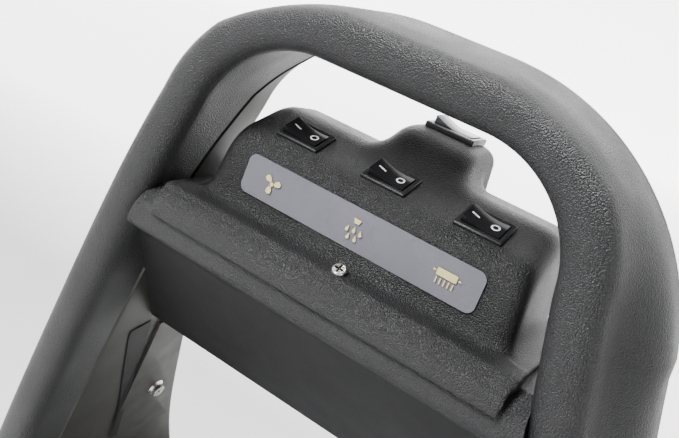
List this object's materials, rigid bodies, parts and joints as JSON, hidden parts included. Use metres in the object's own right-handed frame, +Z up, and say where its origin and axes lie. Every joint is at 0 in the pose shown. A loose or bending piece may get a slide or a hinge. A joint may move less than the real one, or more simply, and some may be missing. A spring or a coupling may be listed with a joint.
{
  "type": "wet_dry_floor_scrubber",
  "caption": "Compact walk-behind floor scrubber-dryer with an arched handle, rocker-switch console, cylindrical brush, rear squeegee and stacked water tanks",
  "frame": {"origin": "on the floor under the middle of the machine", "axes": "+X to the operator's right, +Y forward, the way the machine travels, +Z up"},
  "size_m": [0.377, 0.524, 0.924],
  "materials": {
    "charcoal_shell": "pebble-grain moulded plastic, satin",
    "olive_shell": "olive-grey fine-grain moulded plastic",
    "console_black": "pebble-grain moulded plastic, satin",
    "switch_black": "gloss moulded nylon",
    "rocker_black": "gloss",
    "rocker_grey": "smoky gloss",
    "label_grey": "satin printed film",
    "nickel": "bright nickel",
    "steel_frame": "semi-matt powder coat",
    "bare_steel": "brushed",
    "brass_contact": "tinned brass",
    "hose_grey": "ribbed flexible hose",
    "black_rubber": "matt rubber",
    "tyre_grey": "grey non-marking rubber",
    "wheel_plastic": "moulded nylon",
    "solution_plastic": "rotomoulded polyethylene",
    "recovery_plastic": "rotomoulded polyethylene",
    "clear_lid": "smoky clear polycarbonate",
    "bristle_blue": "nylon bristle",
    "red_lip": "red gum rubber",
    "motor_paint": "satin",
    "white_nylon": "moulded",
    "yellow_accent": "moulded"
  },
  "bodies": {
    "machine": {"handle_front_shell": "charcoal_shell", "handle_rear_shell": "olive_shell", "console_cover": "console_black", "switch_body_left": "switch_black", "switch_body_centre": "switch_black", "switch_body_right": "switch_black", "master_switch_body": "switch_black", "switch_terminals": "brass_contact", "label_strip": "label_grey", "console_screw": "nickel", "leg_screws": "nickel", "cup_washers": "nickel", "frame_upright_left": "steel_frame", "frame_upright_right": "steel_frame", "wiring_harness": "black_rubber", "lower_connector": "white_nylon", "chassis": "steel_frame", "wheel_axle": "bare_steel", "axle_caps": "wheel_plastic", "base_housing": "charcoal_shell", "brush_deck": "charcoal_shell", "brush_bearings": "white_nylon", "drive_belt": "black_rubber", "belt_cover": "olive_shell", "side_cover": "olive_shell", "brush_motor": "motor_paint", "front_bumper": "black_rubber", "vacuum_motor": "motor_paint", "suction_shoe": "wheel_plastic", "squeegee_lips": "red_lip", "suction_hose": "hose_grey", "vacuum_duct": "hose_grey", "water_pump": "motor_paint", "solution_hose": "black_rubber", "spray_bar": "white_nylon", "spray_nozzles": "yellow_accent", "solution_tank": "solution_plastic", "cable_gland": "switch_black"},
    "rocker_left_body": {"rocker_left": "rocker_black"},
    "rocker_centre_body": {"rocker_centre": "rocker_black"},
    "rocker_right_body": {"rocker_right": "rocker_black"},
    "master_rocker_body": {"master_rocker": "rocker_grey"},
    "left_wheel": {"wheel_left": "wheel_plastic", "tyre_left": "tyre_grey"},
    "right_wheel": {"wheel_right": "wheel_plastic", "tyre_right": "tyre_grey"},
    "brush": {"brush_core": "wheel_plastic", "brush_bristles": "bristle_blue", "brush_pulley": "wheel_plastic"},
    "motor_drive": {"motor_pulley": "bare_steel"},
    "impeller": {"vacuum_impeller": "bare_steel"},
    "recovery": {"recovery_tank": "recovery_plastic", "lid_gasket": "black_rubber", "float_cage": "white_nylon"},
    "lid": {"tank_lid": "clear_lid"},
    "bail": {"tank_handle": "bare_steel"},
    "ball": {"float_ball": "yellow_accent"},
    "cap": {"solution_cap": "yellow_accent"}
  },
  "joints": [
    {"name": "rocker_left_tilt", "type": "hinge", "parent": "machine", "child": "rocker_left_body", "pos_m": [-0.0433, -0.20616, 0.86309], "axis": [0, 0.9272, 0.3746], "range_deg": [-20, 0]},
    {"name": "rocker_centre_tilt", "type": "hinge", "parent": "machine", "child": "rocker_centre_body", "pos_m": [0, -0.20616, 0.86309], "axis": [0, 0.9272, 0.3746], "range_deg": [-20, 0]},
    {"name": "rocker_right_tilt", "type": "hinge", "parent": "machine", "child": "rocker_right_body", "pos_m": [0.0433, -0.20616, 0.86309], "axis": [0, 0.9272, 0.3746], "range_deg": [-20, 0]},
    {"name": "master_rocker_tilt", "type": "hinge", "parent": "machine", "child": "master_rocker_body", "pos_m": [0.002, -0.1595, 0.8829], "axis": [0, 1, 0], "range_deg": [-20, 0]},
    {"name": "left_wheel_spin", "type": "hinge", "parent": "machine", "child": "left_wheel", "pos_m": [-0.167, -0.09, 0.09], "axis": [-1, 0, 0], "continuous": true},
    {"name": "right_wheel_spin", "type": "hinge", "parent": "machine", "child": "right_wheel", "pos_m": [0.167, -0.09, 0.09], "axis": [-1, 0, 0], "continuous": true},
    {"name": "brush_spin", "type": "hinge", "parent": "machine", "child": "brush", "pos_m": [0, 0.195, 0.055], "axis": [-1, 0, 0], "continuous": true},
    {"name": "motor_spin", "type": "hinge", "parent": "machine", "child": "motor_drive", "pos_m": [-0.17, 0.08, 0.15], "axis": [-1, 0, 0], "continuous": true},
    {"name": "impeller_spin", "type": "hinge", "parent": "machine", "child": "impeller", "pos_m": [0.05, -0.08, 0.13], "axis": [0, 0, 1], "continuous": true},
    {"name": "recovery_slide", "type": "slide", "parent": "machine", "child": "recovery", "axis": [0, 1, 0], "range_m": [0, 0.27]},
    {"name": "lid_hinge", "type": "hinge", "parent": "recovery", "child": "lid", "pos_m": [0, -0.0174, 0.556], "axis": [-1, 0, 0], "range_deg": [0, 100]},
    {"name": "bail_swing", "type": "hinge", "parent": "recovery", "child": "bail", "pos_m": [0, 0.014, 0.5], "axis": [1, 0, 0], "range_deg": [0, 120]},
    {"name": "float_rise", "type": "slide", "parent": "recovery", "child": "ball", "axis": [0, 0, 1], "range_m": [0, 0.024]},
    {"name": "cap_lift", "type": "slide", "parent": "machine", "child": "cap", "axis": [0, 0.8885, 0.4589], "range_m": [0, 0.06]}
  ],
  "couplings": [
    {"joint": "motor_spin", "follows": "brush_spin", "ratio": 2}
  ]
}
